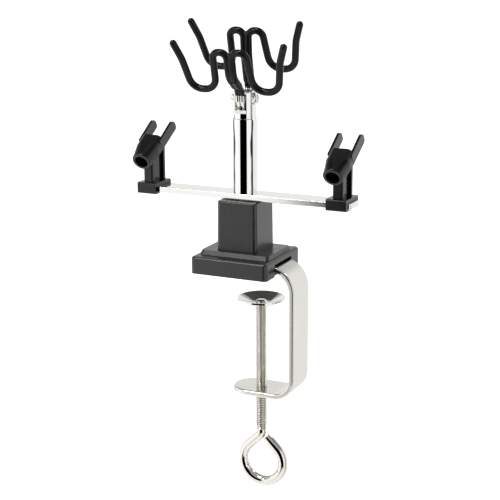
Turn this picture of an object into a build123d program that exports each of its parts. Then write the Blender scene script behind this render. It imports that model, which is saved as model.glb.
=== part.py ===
"""Bench clamp stand with a crossbar, two clip-on cradles and a tilting pair of double wire hooks.

Units are mm. The origin is the centre of the base underside, +Z up, +X along the crossbar.
"""
import os
from math import cos, radians, sin, tan

from build123d import *

# Base cover: a low square skirt, a step and a tapered square tower.
BASE_SIDE = 43.6
SKIRT_H = 9.2
STEP_X, STEP_Y, STEP_TOP = 39.8, 31.0, 11.3
TOWER_FOOT, TOWER_HEAD, TOWER_TOP = 23.1, 22.5, 37.9
COVER_WALL = 2.2
PLATE_T = 2.4

# Clamp bracket: one flat strap bent to a C.
STRAP_T, STRAP_W = 3.0, 20.8
SPINE_X, STRAP_EDGE = 32.2, 0.9
JAW_TOP = -65.0
UPPER_BEND, LOWER_BEND = 14.0, 12.0
JAW_END_X = -6.3
STUD_R = 4.0

# Clamp screw M6 x 1, turned eye and swivel pad.
SCREW_X = 9.15
THREAD_R, THREAD_PITCH, THREAD_DEPTH = 3.0, 1.0, 0.54
THREAD_TOP, THREAD_END = -19.9, -89.4
WIRE_EYE_R = 2.65
EYE_CENTRE, EYE_BEND = (10.1, -108.6), 11.8
EYE_END = (13.9, 0, -95.7)
PAD_R, PAD_RIM, PAD_FLOOR = 12.8, -15.0, -18.2
NECK_R = 2.3

# Crossbar, post and slotted head.
BAR_Z, BAR_T, BAR_W, BAR_L = 38.2, 3.1, 13.3, 123.0
POST_R, POST_BORE, POST_TOP = 6.35, 5.1, 80.5
HEAD_R, HEAD_TOP, SLOT_HALF, SLOT_Z = 5.85, 95.0, 3.0, 83.2
PIVOT_Z, PIVOT_R, BUSH_R = 90.7, 1.6, 4.4

# Double hooks: two bent wires side by side, dipped in soft plastic at both ends.
CORE_R, COAT_R = 1.15, 1.9
STRAND_X = 1.25
EYE_R = BUSH_R + 0.05 + CORE_R
LEAN = tan(radians(20.8))
FRONT_U = (-11.1, 95.8)
REAR_U = (8.9, 105.4)
# One side of the W as corners (distance from the middle, rise above the U) and bend radii.
TIP = (30.5, 23.4)
W_CORNERS = [(27.2, 15.2, 18.0), (24.2, 0.0, 6.9), (10.6, 0.0, 6.9), (9.1, 19.6, 3.6), (1.3, 19.6, 3.6)]
# Stem corners (Y, Z, bend radius) from the arch down to the eye.
FRONT_STEM = [(-15.8, 102.6, 8.0), (-5.6, 95.0, 5.0)]
REAR_STEM = [(2.4, 112.0, 20.0), (5.6, 97.5, 8.0)]
NECK_COAT_R = 1.45
FRONT_NECK, REAR_NECK = (-9.4, 97.83), (5.1, 99.77)
FRONT_COAT_END, REAR_COAT_END = 92.2, 95.0

# Cradles: a clip on the bar, an I-section column and a nose tube with two prongs.
CRADLE_X, CLIP_HALF = 54.4, 5.55
CLIP_FRONT, CLIP_REAR = -9.0, 8.3
CLIP_TOP, CLIP_LOW = 43.4, 37.4
COLUMN_HALF, COLUMN_FRONT, COLUMN_REAR, COLUMN_WEB = 2.8, -6.8, 7.2, 2.8
NOSE = (-13.8, 55.5)
NOSE_TILT = 31.0
TUBE_R, TUBE_BORE, SOCKET_END, HOOD_END, FLOOR_END, PRONG_END = 5.3, 3.7, 9.0, 16.5, 22.0, 31.4
WING_X, WING_T, SKIRT_LOW = 6.6, 1.4, -1.8


def block(x0, x1, y0, y1, z0, z1):
    """A box between two corners."""
    return Part() + Solid.make_box(x1 - x0, y1 - y0, z1 - z0, Plane((x0, y0, z0)))


def rod(radius, z0, z1, x=0.0):
    """A cylinder on Z."""
    return Part() + Solid.make_cylinder(radius, z1 - z0, Plane((x, 0, z0)))


def square_loft(side0, z0, side1, z1, corner):
    """A four-sided frustum with rounded vertical edges."""
    with BuildPart() as p:
        for side, z in ((side0, z0), (side1, z1)):
            with BuildSketch(Plane.XY.offset(z)):
                RectangleRounded(side, side, corner)
        loft()
    return p.part


def base_cover():
    tower = square_loft(TOWER_FOOT, SKIRT_H, TOWER_HEAD, TOWER_TOP, 2.0)
    tower = fillet(tower.edges().group_by(Axis.Z)[-1], 0.9)
    with BuildPart() as p:
        with BuildSketch():
            RectangleRounded(BASE_SIDE, BASE_SIDE, 2.2)
        extrude(amount=SKIRT_H)
        fillet(p.edges().group_by(Axis.Z)[-1], 1.4)
        with BuildSketch(Plane.XY.offset(SKIRT_H)):
            RectangleRounded(STEP_X, STEP_Y, 2.0)
        with BuildSketch(Plane.XY.offset(STEP_TOP)):
            RectangleRounded(STEP_X - 1.2, STEP_Y - 3.0, 2.0)
        loft()
        add(tower)
        half = BASE_SIDE / 2 - COVER_WALL
        add(block(-half, half, -half, half, -1, 7.0), mode=Mode.SUBTRACT)
        inner = TOWER_HEAD / 2 - COVER_WALL
        add(block(-inner, inner, -inner, inner, 6, TOWER_TOP - 6.4), mode=Mode.SUBTRACT)
        add(rod(6.6, PLATE_T + STRAP_T, TOWER_TOP - 4.5))
        add(rod(7.6, TOWER_TOP - 4.4, TOWER_TOP + 1), mode=Mode.SUBTRACT)
        add(rod(STUD_R + 0.1, 0, TOWER_TOP), mode=Mode.SUBTRACT)
        notch = STRAP_W / 2 + 0.4
        add(block(BASE_SIDE / 2 - 4, BASE_SIDE / 2 + 1, -notch, notch, -1, 6.5), mode=Mode.SUBTRACT)
    return p.part


def bottom_plate():
    """Closes the cover below the bracket; its tongue fills the notch under the strap."""
    half = BASE_SIDE / 2 - COVER_WALL - 0.05
    with BuildPart() as p:
        with BuildSketch():
            Rectangle(2 * half, 2 * half)
        extrude(amount=PLATE_T)
        add(block(half - 1, BASE_SIDE / 2 - 1.2, -10.6, 10.6, 0, 1.2))
    return p.part


def bend_mid(centre, radius, up):
    """Middle of a quarter bend that opens to the left of the spine."""
    h = radius * sin(radians(45))
    return (centre[0] + h, centre[1] + h * up)


def clamp_bracket():
    top, low, t = PLATE_T + STRAP_T, JAW_TOP - STRAP_T, STRAP_T
    xo, xi, u, v = SPINE_X, SPINE_X - STRAP_T, UPPER_BEND, LOWER_BEND
    uc, vc = (xo - u, top - u), (xo - v, low + v)
    with BuildPart() as p:
        with BuildSketch(Plane.XZ):
            with BuildLine():
                Polyline((uc[0], top), (-16, top), (-16, PLATE_T), (uc[0], PLATE_T))
                ThreePointArc((uc[0], PLATE_T), bend_mid(uc, u - t, 1), (xi, uc[1]))
                Line((xi, uc[1]), (xi, vc[1]))
                ThreePointArc((xi, vc[1]), bend_mid(vc, v - t, -1), (vc[0], JAW_TOP))
                Polyline((vc[0], JAW_TOP), (JAW_END_X, JAW_TOP), (JAW_END_X, low), (vc[0], low))
                ThreePointArc((vc[0], low), bend_mid(vc, v, -1), (xo, vc[1]))
                Line((xo, vc[1]), (xo, uc[1]))
                ThreePointArc((xo, uc[1]), bend_mid(uc, u, 1), (uc[0], top))
            make_face()
        extrude(amount=STRAP_W / 2, both=True)
        ends = p.edges().filter_by(Axis.Z)
        fillet(ends.filter_by(lambda e: e.center().X < -10), 4.0)
        fillet(ends.filter_by(lambda e: -10 < e.center().X < 0), STRAP_W / 2 - 0.1)
        short = p.edges().filter_by(Axis.Z).filter_by(lambda e: e.length < STRAP_T + 1)
        fillet(ShapeList(e for e in p.edges() if e not in short), STRAP_EDGE)
        add(rod(STUD_R, 0, 10), mode=Mode.SUBTRACT)
        add(rod(THREAD_R + 0.06, JAW_TOP - 10, JAW_TOP + 5, SCREW_X), mode=Mode.SUBTRACT)
    return p.part


def centre_stud():
    stud = rod(STUD_R, PLATE_T, 52.0)
    return chamfer(stud.edges().group_by(Axis.Z)[-1], 0.6)


def stud_nut():
    with BuildPart() as p:
        with BuildSketch(Plane.XY.offset(TOWER_TOP - 4.4)):
            RegularPolygon(6.5, 6, major_radius=False)
            Circle(STUD_R, mode=Mode.SUBTRACT)
        extrude(amount=4.0)
    return p.part


def crossbar():
    with BuildPart() as p:
        with BuildSketch(Plane.XY.offset(BAR_Z)):
            RectangleRounded(BAR_L, BAR_W, 2.0)
            Circle(STUD_R + 0.05, mode=Mode.SUBTRACT)
        extrude(amount=BAR_T)
        fillet(p.edges().group_by(Axis.Z)[0].filter_by(lambda e: e.length > 9), 0.35)
        fillet(p.edges().group_by(Axis.Z)[-1].filter_by(lambda e: e.length > 9), 0.35)
    return p.part


def post_plug():
    foot = BAR_Z + BAR_T
    return rod(POST_BORE, foot, 58.0) - rod(STUD_R + 0.05, foot - 1, 53.0)


def post_tube():
    foot = BAR_Z + BAR_T
    tube = rod(POST_R, foot, POST_TOP) - rod(POST_BORE, foot - 1, POST_TOP + 1)
    return chamfer(tube.edges().group_by(Axis.Z)[-1].sort_by(SortBy.LENGTH)[-1], 0.25)


def clevis_head():
    with BuildPart() as p:
        add(rod(HEAD_R, POST_TOP, HEAD_TOP))
        fillet(p.edges().group_by(Axis.Z)[-1], 1.3)
        add(rod(POST_BORE, POST_TOP - 12, POST_TOP))
        add(block(-SLOT_HALF, SLOT_HALF, -8, 8, SLOT_Z, HEAD_TOP + 1), mode=Mode.SUBTRACT)
        add(block(5.3, 8, -8, 8, PIVOT_Z - 3.4, PIVOT_Z + 3.4), mode=Mode.SUBTRACT)
        with Locations(Location((0, 0, PIVOT_Z), (0, 90, 0))):
            Cylinder(PIVOT_R, 20, mode=Mode.SUBTRACT)
    return p.part


def pivot_screw():
    """Shank along X with a domed, slotted head on the right and a swaged tail on the left."""
    with BuildPart() as p:
        with BuildSketch(Plane.XZ):
            with BuildLine():
                Polyline((-7.6, PIVOT_Z), (-7.6, PIVOT_Z + 1.2), (-7.2, PIVOT_Z + 1.6), (5.3, PIVOT_Z + 1.6),
                         (5.3, PIVOT_Z + 3.15), (5.9, PIVOT_Z + 3.15))
                ThreePointArc((5.9, PIVOT_Z + 3.15), (7.05, PIVOT_Z + 2.1), (7.5, PIVOT_Z))
                Line((7.5, PIVOT_Z), (-7.6, PIVOT_Z))
            make_face()
        revolve(axis=Axis((0, 0, PIVOT_Z), (1, 0, 0)))
        add(block(6.6, 9, -0.45, 0.45, PIVOT_Z - 4, PIVOT_Z + 4), mode=Mode.SUBTRACT)
    return p.part


def pivot_bush():
    width = 2 * SLOT_HALF - 0.1
    ring = Cylinder(BUSH_R, width) - Cylinder(PIVOT_R, width + 1)
    return Pos(0, 0, PIVOT_Z) * (Rot(0, 90, 0) * ring)


def hook_corners(u_point, stem, eye_y, end_z):
    """Corners (x, y, z, bend radius) of one hook, tip first, down to a point beside the eye."""
    flat = [(TIP[0], TIP[1], 0.0)] + W_CORNERS
    corners = [(x, u_point[0] - LEAN * rise, u_point[1] + rise, r) for x, rise, r in flat]
    corners += [(STRAND_X, y, z, r) for y, z, r in stem]
    return corners + [(STRAND_X, eye_y, end_z, 0.0)]


def bent_path(corners):
    """Straight lines joined by tangent arcs at each corner."""
    points = [Vector(*c[:3]) for c in corners]
    edges, start = [], points[0]
    for before, corner, after, c in zip(points, points[1:], points[2:], corners[1:]):
        into, out = (corner - before).normalized(), (after - corner).normalized()
        half = radians(into.get_angle(out)) / 2
        back = c[3] * tan(half)
        first, last = corner - into * back, corner + out * back
        middle = corner + (out - into).normalized() * (c[3] / cos(half) - c[3])
        edges += [Edge.make_line(start, first), Edge.make_three_point_arc(first, middle, last)]
        start = last
    return edges + [Edge.make_line(start, points[-1])]


def tube_along(edges, radius):
    path = Wire(edges)
    disc = Face(Wire(Edge.make_circle(radius, Plane(edges[0] @ 0, z_dir=edges[0] % 0))))
    return Part() + Solid.sweep(disc, path)


def hook_wire():
    """The right-hand wire: front hook, eye under the bush, rear hook."""
    front = bent_path(hook_corners(FRONT_U, FRONT_STEM, -EYE_R, PIVOT_Z))
    rear = bent_path(hook_corners(REAR_U, REAR_STEM, EYE_R, PIVOT_Z))
    eye = Edge.make_three_point_arc(Vector(STRAND_X, -EYE_R, PIVOT_Z), Vector(STRAND_X, 0, PIVOT_Z - EYE_R),
                                    Vector(STRAND_X, EYE_R, PIVOT_Z))
    return tube_along(front + [eye], CORE_R) + tube_along(rear, CORE_R)


def dip_coat(u_point, stem, eye_y, neck, end_z, wire):
    """Soft plastic skin over the left and right strands of one pair, thinner where it enters the slot."""
    corners = hook_corners(u_point, stem, eye_y, end_z)
    last = len(stem)
    thick = bent_path(corners[:-1 - last] + corners[-1 - last:-2] + [(STRAND_X, *neck, 0.0)])
    thin = bent_path([(STRAND_X, *neck, 0.0)] + corners[-2:])
    ends = Pos(*(thick[0] @ 0)) * Sphere(COAT_R) + Pos(STRAND_X, *neck) * Sphere(COAT_R)
    skin = tube_along(thick, COAT_R) + ends + tube_along(thin, NECK_COAT_R)
    half = (skin & block(0, 60, -60, 60, 60, 160)) - wire
    return half + mirror(half, about=Plane.YZ)


def clip_profile():
    """C section of the bar clip in YZ, open to the rear, as one closed outline."""
    bar0, bar1 = BAR_Z - 0.12, BAR_Z + BAR_T + 0.12
    inner = -BAR_W / 2 - 0.12
    back = BAR_W / 2 + 0.15
    return [(CLIP_FRONT, CLIP_LOW), (7.0, CLIP_LOW), (7.0, bar0), (inner, bar0), (inner, bar1), (back, bar1),
            (back, 40.3), (CLIP_REAR, 40.3), (CLIP_REAR, CLIP_TOP), (CLIP_FRONT, CLIP_TOP)]


def bar_clip():
    with BuildPart() as p:
        with BuildSketch(Plane.YZ):
            with BuildLine():
                Polyline(*clip_profile(), close=True)
            make_face()
        extrude(amount=CLIP_HALF, both=True)
        long_edges = p.edges().filter_by(Axis.X)
        fillet(long_edges.filter_by(lambda e: e.center().Y < CLIP_FRONT + 0.1), 0.8)
        fillet(long_edges.filter_by(lambda e: e.center().Y > CLIP_REAR - 0.1 and e.center().Z > 42), 1.3)
    return p.part


def column():
    """I-section upright between the clip and the tube."""
    top = 64.0
    front = block(-COLUMN_HALF, COLUMN_HALF, COLUMN_FRONT, COLUMN_FRONT + 1.9, CLIP_TOP - 0.5, top)
    front = fillet(front.edges().filter_by(Axis.Z).group_by(Axis.Y)[0], 0.9)
    rear = block(-COLUMN_HALF, COLUMN_HALF, COLUMN_REAR - 1.7, COLUMN_REAR, CLIP_TOP - 0.5, top)
    web = block(-COLUMN_WEB / 2, COLUMN_WEB / 2, COLUMN_FRONT + 1, COLUMN_REAR - 1, CLIP_TOP - 0.5, top)
    return front + web + rear


def wing():
    """Side plate in the tube's own frame (X along the tube axis, Y up) with a rounded end."""
    with BuildPart() as p:
        with BuildSketch(Plane.XY):
            with BuildLine():
                Polyline((HOOD_END - 3.5, SKIRT_LOW), (PRONG_END, SKIRT_LOW), (PRONG_END, 4.5),
                         (HOOD_END - 3.5, 4.0), close=True)
            make_face()
        extrude(amount=WING_T)
        far = p.edges().filter_by(Axis.Z).filter_by(lambda e: e.center().X > PRONG_END - 1)
        fillet(far.sort_by(Axis.Y)[1], 3.3)
        far = p.edges().filter_by(Axis.Z).filter_by(lambda e: e.center().X > PRONG_END - 1)
        fillet(far.sort_by(Axis.Y)[0], 1.6)
    return p.part


def hood():
    """Roof and flanks that widen from the round nose to the width of the prongs."""
    with BuildPart() as p:
        with BuildSketch(Plane.YZ.offset(0.7)):
            Circle(TUBE_R)
        with BuildSketch(Plane.YZ.offset(SOCKET_END)):
            with Locations((-2, 0)):
                RectangleRounded(2 * TUBE_R + 4, 2 * WING_X - 0.4, 3.8)
        loft()
        with BuildSketch(Plane.YZ.offset(SOCKET_END)):
            with Locations((-2, 0)):
                RectangleRounded(2 * TUBE_R + 4, 2 * WING_X - 0.4, 3.8)
        with BuildSketch(Plane.YZ.offset(HOOD_END)):
            with Locations((-2, 0)):
                RectangleRounded(2 * TUBE_R + 4, 2 * WING_X, 3.8)
        loft()
    return p.part & (Pos(HOOD_END / 2, SKIRT_LOW + 10, 0) * Box(HOOD_END * 2, 20, 40))


def nose_frame():
    """Plane on the nose tube: local X up the tube, local Y square to it, local Z along the bar."""
    up = Vector(0, cos(radians(NOSE_TILT)), sin(radians(NOSE_TILT)))
    return Plane(origin=(0, NOSE[0], NOSE[1]), x_dir=up, z_dir=(1, 0, 0))


def cradle():
    """Clip, column, nose tube and prongs as one moulding, centred on X = 0."""
    frame = nose_frame()
    axis = Rot(0, 90, 0)
    side = wing()
    tube = Pos(FLOOR_END / 2, 0, 0) * axis * Cylinder(TUBE_R, FLOOR_END)
    tube = fillet(tube.edges().group_by(Axis.X)[0], 0.6)
    shell = tube + hood() + Pos(0, 0, WING_X - WING_T) * side + Pos(0, 0, -WING_X) * side
    # The column ends inside the tube's lower wall.
    keep_low = Pos(16, -22.6, 0) * Box(80, 40, 30)
    trimmed_column = column() & (frame.location * keep_low)
    body = bar_clip() + trimmed_column + frame.location * shell
    bore = Pos(20, 0, 0) * axis * Cylinder(TUBE_BORE, 60)
    trough = Pos(40 + SOCKET_END, 0, 0) * axis * Cylinder(TUBE_R - 1.3, 80)
    inner = 2 * (WING_X - WING_T)
    under_roof = Pos(40 + SOCKET_END + 2, 2.0, 0) * Box(80, 4, inner)
    notch = Pos(40 + HOOD_END, 10, 0) * Box(80, 20, inner)
    notch = fillet(notch.edges().filter_by(Axis.Y).group_by(Axis.X)[0], 1.4)
    return body - frame.location * (bore + trough + under_roof + notch)


def clamp_screw():
    """Thread as rings, a necked and peened top, and the eye bent from the same rod."""
    root = THREAD_R - THREAD_DEPTH
    count = int(round((THREAD_TOP - THREAD_END) / THREAD_PITCH))
    points = [(0, -16.2), (2.2, -16.2), (3.1, -16.8), (3.1, -17.8), (NECK_R, -17.8), (NECK_R, THREAD_TOP)]
    z = THREAD_TOP
    for _ in range(count):
        points += [(root, z), (THREAD_R, z - 0.44), (THREAD_R, z - 0.56)]
        z -= THREAD_PITCH
    points += [(root, z), (root, z - 1.5), (0, z - 1.5)]
    with BuildPart() as p:
        with BuildSketch(Plane.XZ):
            with BuildLine():
                Polyline(*points, close=True)
            make_face()
        revolve(axis=Axis.Z)
    return Pos(SCREW_X, 0, 0) * p.part + eye_ring()


def eye_ring():
    """Round eye in the XZ plane; the rod's free end butts against its own shank."""
    (x, z), lean, turn = EYE_CENTRE, 45.0, 67.5
    corners = [(SCREW_X, 0, THREAD_END + 1, 0.0), (SCREW_X, 0, z + EYE_BEND / cos(radians(lean)) + SCREW_X - x, 4.0)]
    for step in range(4):
        angle, reach = radians(180 - lean + turn * (step + 0.5)), EYE_BEND / cos(radians(turn / 2))
        corners.append((x + reach * cos(angle), 0, z + reach * sin(angle), EYE_BEND * 0.985))
    return tube_along(bent_path(corners + [(*EYE_END, 0.0)]), WIRE_EYE_R)


def clamp_pad():
    with BuildPart() as p:
        with BuildSketch(Plane.XZ):
            with BuildLine():
                Polyline((NECK_R + 0.08, -19.6), (5.2, -19.6), (PAD_R, PAD_RIM - 0.9), (PAD_R, PAD_RIM),
                         (PAD_R - 0.7, PAD_RIM), (5.4, PAD_FLOOR), (NECK_R + 0.08, PAD_FLOOR), close=True)
            make_face()
        revolve(axis=Axis.Z)
    return Pos(SCREW_X, 0, 0) * p.part


def save(shape, name):
    shape.label = name
    solids = shape.solids()
    out = solids[0] if len(solids) == 1 else Compound(children=solids)
    out.label = name
    export_step(out, f"parts/{name}.step")


def main():
    os.makedirs("parts", exist_ok=True)
    save(base_cover(), "base_cover")
    save(bottom_plate(), "bottom_plate")
    save(clamp_bracket(), "clamp_bracket")
    save(centre_stud(), "centre_stud")
    save(stud_nut(), "stud_nut")
    save(crossbar(), "crossbar")
    save(post_plug(), "post_plug")
    save(post_tube(), "post_tube")
    save(clevis_head(), "clevis_head")
    save(pivot_screw(), "pivot_screw")
    save(pivot_bush(), "pivot_bush")
    wire = hook_wire()
    save(wire, "right_hook_wire")
    save(mirror(wire, about=Plane.YZ), "left_hook_wire")
    front = dip_coat(FRONT_U, FRONT_STEM, -EYE_R, FRONT_NECK, FRONT_COAT_END, wire)
    rear = dip_coat(REAR_U, REAR_STEM, EYE_R, REAR_NECK, REAR_COAT_END, wire)
    save(front, "front_coating")
    save(rear, "rear_coating")
    holder = cradle()
    save(Pos(CRADLE_X, 0, 0) * holder, "right_cradle")
    save(Pos(-CRADLE_X, 0, 0) * holder, "left_cradle")
    save(clamp_screw(), "clamp_screw")
    save(clamp_pad(), "clamp_pad")


main()
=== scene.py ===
"""Looks for the bench clamp stand: coated wires, a true helical thread, plated metal and moulded plastic."""
import math

import bmesh
import bpy
from mathutils import Matrix, Vector


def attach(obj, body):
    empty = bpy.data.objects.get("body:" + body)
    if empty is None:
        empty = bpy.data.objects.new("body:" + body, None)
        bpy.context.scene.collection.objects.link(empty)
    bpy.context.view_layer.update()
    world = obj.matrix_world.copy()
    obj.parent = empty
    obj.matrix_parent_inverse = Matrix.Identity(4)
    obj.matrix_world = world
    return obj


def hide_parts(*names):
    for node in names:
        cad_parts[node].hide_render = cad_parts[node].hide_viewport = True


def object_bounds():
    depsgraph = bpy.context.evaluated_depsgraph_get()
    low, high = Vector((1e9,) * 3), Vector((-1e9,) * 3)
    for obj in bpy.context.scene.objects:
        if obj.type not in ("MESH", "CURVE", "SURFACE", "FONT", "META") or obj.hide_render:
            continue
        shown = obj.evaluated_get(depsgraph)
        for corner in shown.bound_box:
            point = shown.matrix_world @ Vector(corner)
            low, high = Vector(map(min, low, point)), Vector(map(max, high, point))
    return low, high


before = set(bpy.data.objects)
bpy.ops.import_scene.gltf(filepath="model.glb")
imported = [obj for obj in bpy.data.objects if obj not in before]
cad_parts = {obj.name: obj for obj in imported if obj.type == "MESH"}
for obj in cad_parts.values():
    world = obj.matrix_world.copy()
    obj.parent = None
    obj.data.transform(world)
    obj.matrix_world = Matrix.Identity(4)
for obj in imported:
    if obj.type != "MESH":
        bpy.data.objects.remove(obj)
cad_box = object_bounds()
MM = 0.001


# ---------------------------------------------------------------- materials
class Mat:
    """A small builder for node materials: object-space noise for colour, roughness and bump."""

    def __init__(self, name, color, rough, metallic=0.0, **sockets):
        self.mat = bpy.data.materials.new(name)
        self.mat.use_nodes = True
        self.tree = self.mat.node_tree
        self.bsdf = self.tree.nodes["Principled BSDF"]
        self.bsdf.inputs["Metallic"].default_value = metallic
        self.bsdf.inputs["Base Color"].default_value = (*color, 1)
        self.bsdf.inputs["Roughness"].default_value = rough
        for key, value in sockets.items():
            self.bsdf.inputs[key.replace("_", " ")].default_value = value
        self.coord = self.tree.nodes.new("ShaderNodeTexCoord").outputs["Object"]
        self.height = None

    def node(self, kind, **props):
        n = self.tree.nodes.new(kind)
        for key, value in props.items():
            setattr(n, key, value)
        return n

    def link(self, a, b):
        self.tree.links.new(a, b)

    def noise(self, scale, detail=3.0, stretch=(1, 1, 1), rough=0.55, distortion=0.0):
        """Noise output; scale is in cells per metre, stretch multiplies it per axis."""
        mapping = self.node("ShaderNodeMapping")
        mapping.inputs["Scale"].default_value = stretch
        self.link(self.coord, mapping.inputs["Vector"])
        n = self.node("ShaderNodeTexNoise")
        n.inputs["Scale"].default_value = scale
        n.inputs["Detail"].default_value = detail
        n.inputs["Roughness"].default_value = rough
        n.inputs["Distortion"].default_value = distortion
        self.link(mapping.outputs["Vector"], n.inputs["Vector"])
        return n.outputs["Fac"]

    def ramp(self, fac, stops):
        r = self.node("ShaderNodeValToRGB")
        while len(r.color_ramp.elements) < len(stops):
            r.color_ramp.elements.new(0.5)
        for element, (pos, col) in zip(r.color_ramp.elements, stops):
            element.position = pos
            element.color = (*col, 1) if len(col) == 3 else col
        self.link(fac, r.inputs["Fac"])
        return r.outputs["Color"]

    def color(self, fac, stops):
        self.link(self.ramp(fac, stops), self.bsdf.inputs["Base Color"])
        return self

    def rough(self, fac, low, high, lo=0.3, hi=0.7):
        m = self.node("ShaderNodeMapRange")
        for key, value in (("From Min", lo), ("From Max", hi), ("To Min", low), ("To Max", high)):
            m.inputs[key].default_value = value
        self.link(fac, m.inputs["Value"])
        self.link(m.outputs["Result"], self.bsdf.inputs["Roughness"])
        return self

    def bump(self, fac, distance, strength=1.0):
        b = self.node("ShaderNodeBump")
        b.inputs["Distance"].default_value = distance
        b.inputs["Strength"].default_value = strength
        self.link(fac, b.inputs["Height"])
        if self.height is not None:
            self.link(self.height, b.inputs["Normal"])
        self.height = b.outputs["Normal"]
        self.link(self.height, self.bsdf.inputs["Normal"])
        return self


def moulded(name, base, light, rough, grain, **sockets):
    """Moulded black plastic: fine texture, slow sheen changes, faint handling marks."""
    m = Mat(name, base, rough, **sockets)
    slow, fine = m.noise(110, 5.0, distortion=0.3), m.noise(grain, 2.0)
    m.color(slow, [(0.3, base), (0.7, light)])
    m.rough(slow, rough - 0.04, rough + 0.06)
    m.bump(fine, 0.00003, 0.3)
    return m.bump(m.noise(260, 3.0), 0.00004, 0.2)


def plated(name, base, warm, rough, brushed=None, wave=0.00002):
    """Plated steel: mirror ground with slow waviness, faint drawing lines and a warmer tint in patches."""
    m = Mat(name, base, rough, 1.0)
    slow = m.noise(60, 4.0, distortion=0.4)
    m.color(slow, [(0.3, base), (0.72, warm)])
    m.rough(m.noise(500, 4.0), max(rough - 0.02, 0.02), rough + 0.03)
    if brushed:
        m.bump(m.noise(900, 3.0, stretch=brushed), 0.000006, 0.4)
    return m.bump(m.noise(90, 2.0), wave, 0.2)


BLACK, SOOT = (0.0035, 0.0035, 0.0037), (0.006, 0.006, 0.0063)
COVER = moulded("cover_plastic", (0.010, 0.010, 0.0104), (0.014, 0.014, 0.0145), 0.27, 5200, IOR=1.62)
PLATE = moulded("plate_plastic", (0.02, 0.02, 0.02), (0.03, 0.03, 0.03), 0.55, 3200)
CRADLE = moulded("cradle_plastic", BLACK, SOOT, 0.15, 6500, Specular_IOR_Level=0.42)
DIP = Mat("dip_black", BLACK, 0.17, Specular_IOR_Level=0.2)
DIP.color(DIP.noise(160, 3.0), [(0.3, BLACK), (0.75, SOOT)])
DIP.rough(DIP.noise(300, 3.0), 0.14, 0.2).bump(DIP.noise(420, 2.0), 0.00006, 0.2)
CHROME = plated("post_chrome", (0.86, 0.86, 0.86), (0.84, 0.835, 0.82), 0.04, (1, 1, 0.03))
BAR = plated("bar_chrome", (0.83, 0.83, 0.81), (0.81, 0.80, 0.775), 0.07, (0.03, 1, 1))
STRAP = plated("strap_steel", (0.755, 0.745, 0.71), (0.74, 0.73, 0.69), 0.16, (1, 1, 0.04), 0.00001)
SCREW = plated("screw_steel", (0.80, 0.78, 0.74), (0.74, 0.71, 0.66), 0.07)
PAD = plated("pad_steel", (0.82, 0.82, 0.80), (0.79, 0.78, 0.75), 0.05)
WIRE = plated("wire_steel", (0.82, 0.81, 0.79), (0.76, 0.74, 0.70), 0.06)
ZINC = plated("zinc_steel", (0.66, 0.66, 0.64), (0.60, 0.59, 0.55), 0.3, (1, 0.2, 1))


def paint(obj, mat):
    obj.data.materials.clear()
    obj.data.materials.append(mat.mat)
    return obj


FINISH = {
    "base_cover": COVER, "bottom_plate": PLATE, "clamp_bracket": STRAP, "centre_stud": ZINC, "stud_nut": ZINC,
    "crossbar": BAR, "post_plug": ZINC, "post_tube": CHROME, "clevis_head": CHROME, "pivot_screw": SCREW,
    "pivot_bush": ZINC, "left_hook_wire": WIRE, "right_hook_wire": WIRE,
    "front_coating": DIP, "rear_coating": DIP, "left_cradle": CRADLE, "right_cradle": CRADLE,
    "clamp_screw": SCREW, "clamp_pad": PAD,
}
for name, mat in FINISH.items():
    paint(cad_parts[name], mat)


# ---------------------------------------------------------------- shapes
def linked(name, data):
    obj = bpy.data.objects.new(name, data)
    bpy.context.scene.collection.objects.link(obj)
    return obj


def smooth_shaded(mesh):
    mesh.polygons.foreach_set("use_smooth", [True] * len(mesh.polygons))
    return mesh


def mesh_object(name, verts, faces, mat, body, slot):
    mesh = bpy.data.meshes.new(name)
    mesh.from_pydata([tuple(v) for v in verts], [], faces)
    mesh.validate()
    obj = paint(linked(name, smooth_shaded(mesh)), mat)
    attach(obj, body)
    return obj


def skin(rings):
    """Vertices and faces of a closed skin over rings of equal length."""
    n = len(rings[0])
    verts = [v for ring in rings for v in ring]
    faces = [(i * n + k, i * n + (k + 1) % n, (i + 1) * n + (k + 1) % n, (i + 1) * n + k)
             for i in range(len(rings) - 1) for k in range(n)]
    return verts, faces + [tuple(range(n))[::-1], tuple(range((len(rings) - 1) * n, len(rings) * n))]


def arc_path(corners, step):
    """Points along straight runs joined by tangent arcs, about step degrees apart.

    Corners are (point, bend radius); the first and last radius are not used.
    """
    points = [Vector(p) for p, _ in corners]
    out = [points[0]]
    for before, corner, after, (_, radius) in zip(points, points[1:], points[2:], corners[1:]):
        into, leave = (corner - before).normalized(), (after - corner).normalized()
        turn = into.angle(leave)
        first = corner - into * radius * math.tan(turn / 2)
        normal = (leave - into * into.dot(leave)).normalized()
        centre = first + normal * radius
        count = max(2, int(math.degrees(turn) / step))
        for k in range(count + 1):
            a = turn * k / count
            out.append(centre - normal * radius * math.cos(a) + into * radius * math.sin(a))
    return out + [points[-1]]


def rings_along(points, radii, n):
    """Circles square to the path, carried without twist."""
    rings, side = [], None
    for i, p in enumerate(points):
        ahead = (points[min(i + 1, len(points) - 1)] - points[max(i - 1, 0)]).normalized()
        side = ahead.orthogonal() if side is None else side - ahead * side.dot(ahead)
        side.normalize()
        other = ahead.cross(side)
        angles = [2 * math.pi * k / n for k in range(n)]
        rings.append([p + (side * math.cos(a) + other * math.sin(a)) * radii[i] for a in angles])
    return rings


def rounded_end(points, radius, soft, steps=5):
    """The path and its radii with the last stretch closed in a quarter round of radius soft."""
    ahead = (points[-1] - points[-2]).normalized()
    end = points[-1] - ahead * soft
    path, radii = points[:-1] + [end], [radius] * len(points)
    for k in range(1, steps + 1):
        a = math.pi / 2 * k / steps
        path.append(end + ahead * soft * math.sin(a))
        radii.append(radius - soft * (1 - math.cos(a)))
    return path, radii


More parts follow.
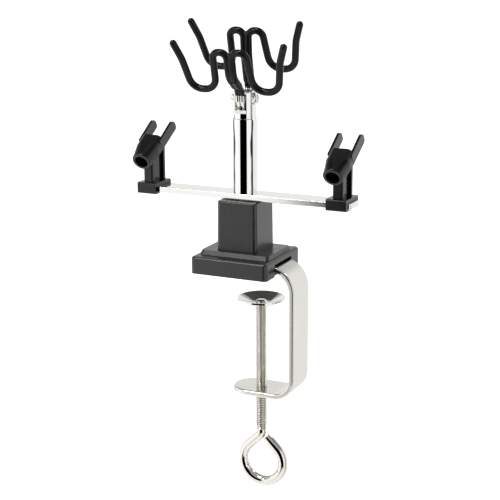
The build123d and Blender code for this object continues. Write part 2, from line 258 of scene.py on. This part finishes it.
# Clamp screw, in mm: M6 x 1 thread between two heights, then the eye's centre line and its free end (x, z).
SCREW_X, THREAD_TOP, THREAD_END, CREST, ROOT = 9.15, -19.9, -89.4, 3.0, 2.46
EYE_MIDDLE, EYE_BEND, EYE_WIRE, EYE_TIP = (10.1, -108.6), 11.8, 2.65, (12.0, -94.0)
FADE_TOP, FADE_END = 1.2, 2.0
FLANK = [(0.0, 0.0), (0.12, 0.0), (0.44, 1.0), (0.56, 1.0), (0.88, 0.0), (1.0, 0.0)]


def flank_height(phase):
    """Height of the thread, 0 at the root and 1 at the crest, at a phase of 0 to 1 along one pitch."""
    for (a, u), (b, v) in zip(FLANK, FLANK[1:]):
        if phase <= b:
            return u + (v - u) * (phase - a) / (b - a)
    return 0.0


def threaded_rod():
    """One helicoid skin: radius follows the thread's own phase and fades out at both ends."""
    turn, per_mm, rings = 40, 12, []
    rows = int((THREAD_TOP - THREAD_END) * per_mm)
    for i in range(rows + 1):
        z = THREAD_TOP - i / per_mm
        fade = min(1.0, (THREAD_TOP - z) / FADE_TOP, (z - THREAD_END) / FADE_END)
        ring = []
        for k in range(turn):
            r = ROOT + (CREST - ROOT) * max(fade, 0) * flank_height((z + k / turn) % 1.0)
            a = 2 * math.pi * k / turn
            ring.append(Vector((SCREW_X + r * math.cos(a), r * math.sin(a), z)) * MM)
        rings.append(ring)
    return skin(rings)


def lathe(profile, x, n=40):
    """Solid of revolution about a vertical axis at x; profile is (radius, z) from top to bottom."""
    rings = [[Vector((x + r * math.cos(2 * math.pi * k / n), r * math.sin(2 * math.pi * k / n), z)) * MM
              for k in range(n)] for r, z in profile]
    return skin(rings)


def eye():
    """The neck's bend, then a ring of four tangent arcs that ends short of the neck."""
    (cx, cz), turn = EYE_MIDDLE, 67.5
    bend_z = cz + EYE_BEND * math.sqrt(2) + SCREW_X - cx
    corners = [((SCREW_X, 0, THREAD_END + 0.5), 0), ((SCREW_X, 0, bend_z), 4.0)]
    for step in range(4):
        a, reach = math.radians(135 + turn * (step + 0.5)), EYE_BEND / math.cos(math.radians(turn / 2))
        corners.append(((cx + reach * math.cos(a), 0, cz + reach * math.sin(a)), EYE_BEND * 0.995))
    corners.append(((EYE_TIP[0], 0, EYE_TIP[1]), 0))
    path, radii = rounded_end(arc_path(corners, 4.0), EYE_WIRE, 0.5)
    return skin(rings_along([p * MM for p in path], [r * MM for r in radii], 36))


def joined(*parts):
    verts, faces = [], []
    for v, f in parts:
        faces += [tuple(i + len(verts) for i in face) for face in f]
        verts += v
    return verts, faces


HEAD = [(0.4, -16.2), (1.6, -16.25), (2.5, -16.5), (3.0, -16.95), (3.1, -17.3), (3.1, -17.75), (2.9, -17.8),
        (2.3, -17.8), (2.3, THREAD_TOP - 0.2)]
screw = mesh_object("screw_with_eye", *joined(threaded_rod(), lathe(HEAD, SCREW_X), eye()), SCREW, "screw",
                    "screw_steel")
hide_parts("clamp_screw")
GROOVE_DEPTH, GROOVE_TINT = 0.1, (0.34, 0.30, 0.25, 1)


def mark_grooves(mesh):
    """Store how deep each vertex lies in the thread, 1 at the root, for the material to read."""
    groove = mesh.attributes.new("groove", "FLOAT", "POINT")
    for vertex, value in zip(mesh.vertices, groove.data):
        reach = math.hypot(vertex.co.x / MM - SCREW_X, vertex.co.y / MM)
        in_thread = THREAD_END + 1 < vertex.co.z / MM < THREAD_TOP
        value.value = max(0.0, min(1.0, (ROOT + GROOVE_DEPTH - reach) / GROOVE_DEPTH)) if in_thread else 0.0


def darken_grooves(m):
    """Oil and shadow tint at the thread's root, from the depth stored on the mesh."""
    depth = m.node("ShaderNodeAttribute", attribute_name="groove").outputs["Fac"]
    mix = m.node("ShaderNodeMix", data_type="RGBA")
    m.link(depth, mix.inputs["Factor"])
    m.link(m.bsdf.inputs["Base Color"].links[0].from_socket, mix.inputs["A"])
    mix.inputs["B"].default_value = GROOVE_TINT
    m.link(mix.outputs["Result"], m.bsdf.inputs["Base Color"])


mark_grooves(screw.data)
darken_grooves(SCREW)

SWELL = 0.8 * MM
SOFTEN = (
    ("DISPLACE", {"strength": SWELL, "mid_level": 0.0}), ("REMESH", {"mode": "VOXEL", "voxel_size": 0.32 * MM}),
    ("SMOOTH", {"factor": 0.5, "iterations": 3}), ("DISPLACE", {"strength": -SWELL, "mid_level": 0.0}),
    ("REMESH", {"mode": "VOXEL", "voxel_size": 0.28 * MM}), ("SMOOTH", {"factor": 0.5, "iterations": 7}),
)


def dipped(name, node):
    """The coating as one soft skin: tubes are swollen, merged and shrunk back, which fills the crotches."""
    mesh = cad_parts[node].data.copy()
    welded = bmesh.new()
    welded.from_mesh(mesh)
    bmesh.ops.remove_doubles(welded, verts=welded.verts, dist=0.002 * MM)
    bmesh.ops.recalc_face_normals(welded, faces=welded.faces)
    welded.to_mesh(mesh)
    welded.free()
    tool = linked(name + "_tool", mesh)
    for kind, props in SOFTEN:
        mod = tool.modifiers.new(kind, kind)
        for key, value in props.items():
            setattr(mod, key, value)
    final = bpy.data.meshes.new_from_object(tool.evaluated_get(bpy.context.evaluated_depsgraph_get()))
    bpy.data.objects.remove(tool)
    obj = paint(linked(name, smooth_shaded(final)), DIP)
    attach(obj, "hanger")
    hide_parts(node)


dipped("front_dip", "front_coating")
dipped("rear_dip", "rear_coating")


# ---------------------------------------------------------------- stage, light and camera
def stage_floor():
    """A wide pale sheet just under the part, bright enough to read as white paper."""
    half, z = 14.0, cad_box[0][2] - 0.0005
    corners = [(-half, -half, z), (half, -half, z), (half, half, z), (-half, half, z)]
    mesh = bpy.data.meshes.new("floor")
    mesh.from_pydata(corners, [], [(0, 1, 2, 3)])
    floor = linked("floor", mesh)
    m = Mat("pale_floor", (0.92, 0.92, 0.91), 0.6)
    m.color(m.noise(3.0), [(0.3, (0.90, 0.90, 0.895)), (0.7, (0.93, 0.93, 0.925))])
    m.rough(m.noise(9.0), 0.55, 0.7)
    m.bsdf.inputs["Specular IOR Level"].default_value = 0.0
    m.bsdf.inputs["Emission Color"].default_value = (1, 1, 1, 1)
    m.bsdf.inputs["Emission Strength"].default_value = 0.8
    paint(floor, m)
    floor.visible_glossy = False


def world_light():
    """A white cyclorama with a dark gap in front and a dimmer top, so polished metal shows dark streaks."""
    world = bpy.data.worlds.new("studio")
    bpy.context.scene.world = world
    world.use_nodes = True
    t = world.node_tree
    background = t.nodes["Background"]
    ray = t.nodes.new("ShaderNodeSeparateXYZ")
    t.links.new(t.nodes.new("ShaderNodeTexCoord").outputs["Generated"], ray.inputs[0])

    def calc(op, a, b=None):
        n = t.nodes.new("ShaderNodeMath")
        n.operation = op
        for socket, v in zip(n.inputs, (a, b)):
            if isinstance(v, (int, float)):
                socket.default_value = v
            elif v is not None:
                t.links.new(v, socket)
        return n.outputs[0]

    def ramp(fac, stops):
        r = t.nodes.new("ShaderNodeValToRGB")
        while len(r.color_ramp.elements) < len(stops):
            r.color_ramp.elements.new(0.5)
        for e, (p, v) in zip(r.color_ramp.elements, stops):
            e.position, e.color = p, (v, v, v, 1)
        t.links.new(fac, r.inputs["Fac"])
        return r.outputs["Color"]

    # Azimuth runs from the front (-Y) towards +X; both angles are mapped to 0..1.
    turn = calc("ARCTAN2", ray.outputs["X"], calc("MULTIPLY", ray.outputs["Y"], -1.0))
    turn = calc("ADD", calc("DIVIDE", turn, 2 * math.pi), 0.5)
    rise = calc("ADD", calc("DIVIDE", calc("ARCSINE", ray.outputs["Z"]), math.pi), 0.5)

    def around(stops):
        return ramp(turn, [(a / 360 + 0.5, v) for a, v in stops])

    def upward(stops):
        return ramp(rise, [(e / 180 + 0.5, v) for e, v in stops])

    walls = around(WALLS)
    gap = calc("MULTIPLY", around(GAP_WIDTH), upward(GAP_HEIGHT))
    clear = calc("SUBTRACT", WORLD_GAIN, calc("MULTIPLY", gap, WORLD_GAIN))
    light = calc("MULTIPLY", calc("MULTIPLY", walls, upward(SKY)), clear)
    path = t.nodes.new("ShaderNodeLightPath")
    seen = calc("MAXIMUM", light, path.outputs["Is Camera Ray"])
    t.links.new(seen, background.inputs["Strength"])
    background.inputs["Color"].default_value = (1, 1, 0.99, 1)


# Stops of (degrees, brightness): the walls and the dark gap by azimuth, the gap and the sky by elevation.
WALLS = [(-180, 0.62), (-160, 0.62), (-126, 0.66), (-121, 0.2), (-116, 0.2), (-111, 0.72), (-73, 0.75),
         (-70, 1.0), (-60, 1.0), (-56, 0.76), (-10, 0.76), (45, 0.74), (84, 0.7), (88, 0.2), (104, 0.2),
         (108, 0.66), (155, 0.66), (180, 0.62)]
GAP_WIDTH = [(-23.5, 0.0), (-22, 1.0), (41, 1.0), (44, 0.0)]
GAP_HEIGHT = [(-32, 0.0), (-26, 1.0), (24, 1.0), (30, 0.0)]
SKY = [(-90, 1.0), (22, 1.0), (34, 0.4), (70, 0.25), (90, 0.35)]
WORLD_GAIN = 1.5


def area(name, place, target, size, power):
    """A round soft light of a given width in metres and power in watts, aimed at a point."""
    light = bpy.data.lights.new(name, "AREA")
    light.shape, light.size, light.energy = "DISK", size, power
    obj = linked(name, light)
    obj.location = place
    obj.rotation_euler = (Vector(target) - Vector(place)).to_track_quat("-Z", "Y").to_euler()


SENSOR, VIEW_WIDTH = 36.0, 266.5 * MM


def camera():
    """Seen from the front right, a little above, on a long lens."""
    azimuth, elevation, roll = math.radians(25.17), math.radians(14.34), math.radians(-0.26)
    distance, across, above = 0.6754, 0.00234, 0.00948
    back = Vector((math.sin(azimuth) * math.cos(elevation), -math.cos(azimuth) * math.cos(elevation),
                   math.sin(elevation)))
    right = Vector((math.cos(azimuth), math.sin(azimuth), 0))
    up = back.cross(right)
    x_axis = right * math.cos(roll) + up * math.sin(roll)
    y_axis = up * math.cos(roll) - right * math.sin(roll)
    data = bpy.data.cameras.new("camera")
    data.sensor_width, data.lens = SENSOR, SENSOR * distance / VIEW_WIDTH
    data.clip_start, data.clip_end = 0.01, 60
    obj = linked("camera", data)
    turn = Matrix((x_axis, y_axis, back)).transposed().to_4x4()
    obj.matrix_world = Matrix.Translation(back * distance + right * across + up * above) @ turn
    bpy.context.scene.camera = obj


stage_floor()
world_light()
camera()
MIDDLE = (0, 0, 0.05)
area("key", (-0.61, -1.06, 0.95), MIDDLE, 0.4, 4.6)
area("top", (-0.25, -0.55, 1.5), MIDDLE, 0.5, 9.0)
area("rim", (0.75, 1.0, 1.1), MIDDLE, 0.4, 3.0)
bpy.context.scene.view_settings.view_transform = "Standard"
